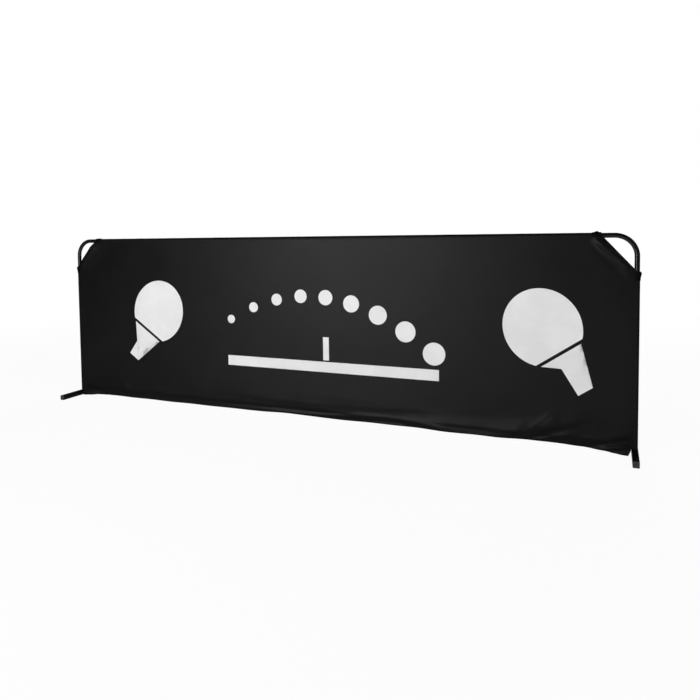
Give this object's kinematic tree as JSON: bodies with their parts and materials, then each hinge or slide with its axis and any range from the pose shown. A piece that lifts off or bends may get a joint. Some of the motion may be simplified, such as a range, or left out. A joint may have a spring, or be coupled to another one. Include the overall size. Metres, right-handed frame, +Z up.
{
  "type": "table tennis barrier",
  "caption": "Low free-standing court barrier: bent tube frame in a slip-on black cloth cover with cut corners, standing on swivelling square-tube feet.",
  "frame": {"origin": "On the floor, midway between the two feet, under the middle of the panel.", "axes": "+X along the panel to the right as seen from the front, +Z up, and the front of the panel faces -Y."},
  "size_m": [2.333, 0.25, 0.7115],
  "materials": {
    "painted_steel": "black powder coat, semi-gloss",
    "zinc_steel": "bright zinc plate",
    "grey_nylon": "moulded dark grey nylon",
    "white_nylon": "natural nylon",
    "cover_cloth": "plain woven polyester with a light sheen",
    "binding_tape": "ribbed binding tape",
    "hook_and_loop": "hook and loop pile"
  },
  "bodies": {
    "frame": {"back_hem_left_end": "cover_cloth", "back_hem_middle": "cover_cloth", "back_hem_right_end": "cover_cloth", "back_left_corner_tape": "binding_tape", "back_panel": "cover_cloth", "back_right_corner_tape": "binding_tape", "front_hem_left_end": "cover_cloth", "front_hem_middle": "cover_cloth", "front_hem_right_end": "cover_cloth", "front_left_corner_tape": "binding_tape", "front_panel": "cover_cloth", "front_right_corner_tape": "binding_tape", "hook_patch_1": "hook_and_loop", "hook_patch_2": "hook_and_loop", "hook_patch_3": "hook_and_loop", "hook_patch_4": "hook_and_loop", "hook_patch_5": "hook_and_loop", "left_flat_washer": "zinc_steel", "left_gusset": "cover_cloth", "left_pivot_bolt": "zinc_steel", "left_side_cuff": "binding_tape", "left_spring_washer": "zinc_steel", "left_swivel_washer": "white_nylon", "left_threaded_bush": "zinc_steel", "left_top_cuff": "binding_tape", "left_tube_insert": "grey_nylon", "loop_patch_1": "hook_and_loop", "loop_patch_2": "hook_and_loop", "loop_patch_3": "hook_and_loop", "loop_patch_4": "hook_and_loop", "loop_patch_5": "hook_and_loop", "lower_rail": "painted_steel", "right_flat_washer": "zinc_steel", "right_gusset": "cover_cloth", "right_pivot_bolt": "zinc_steel", "right_side_cuff": "binding_tape", "right_spring_washer": "zinc_steel", "right_swivel_washer": "white_nylon", "right_threaded_bush": "zinc_steel", "right_top_cuff": "binding_tape", "right_tube_insert": "grey_nylon", "top_gusset": "cover_cloth", "tube_frame": "painted_steel"},
    "left_foot": {"left_foot_bar": "painted_steel", "left_foot_front_cap": "grey_nylon", "left_foot_rear_cap": "grey_nylon"},
    "right_foot": {"right_foot_bar": "painted_steel", "right_foot_front_cap": "grey_nylon", "right_foot_rear_cap": "grey_nylon"}
  },
  "joints": [
    {"name": "left_foot_swivel", "type": "hinge", "parent": "frame", "child": "left_foot", "pos_m": [-1.1557, 0, 0], "axis": [0, 0, 1], "range_deg": [-90, 90], "deforming": ["front_hem_left_end", "back_hem_left_end"]},
    {"name": "right_foot_swivel", "type": "hinge", "parent": "frame", "child": "right_foot", "pos_m": [1.1557, 0, 0], "axis": [0, 0, 1], "range_deg": [-90, 90], "deforming": ["front_hem_right_end", "back_hem_right_end"]}
  ]
}
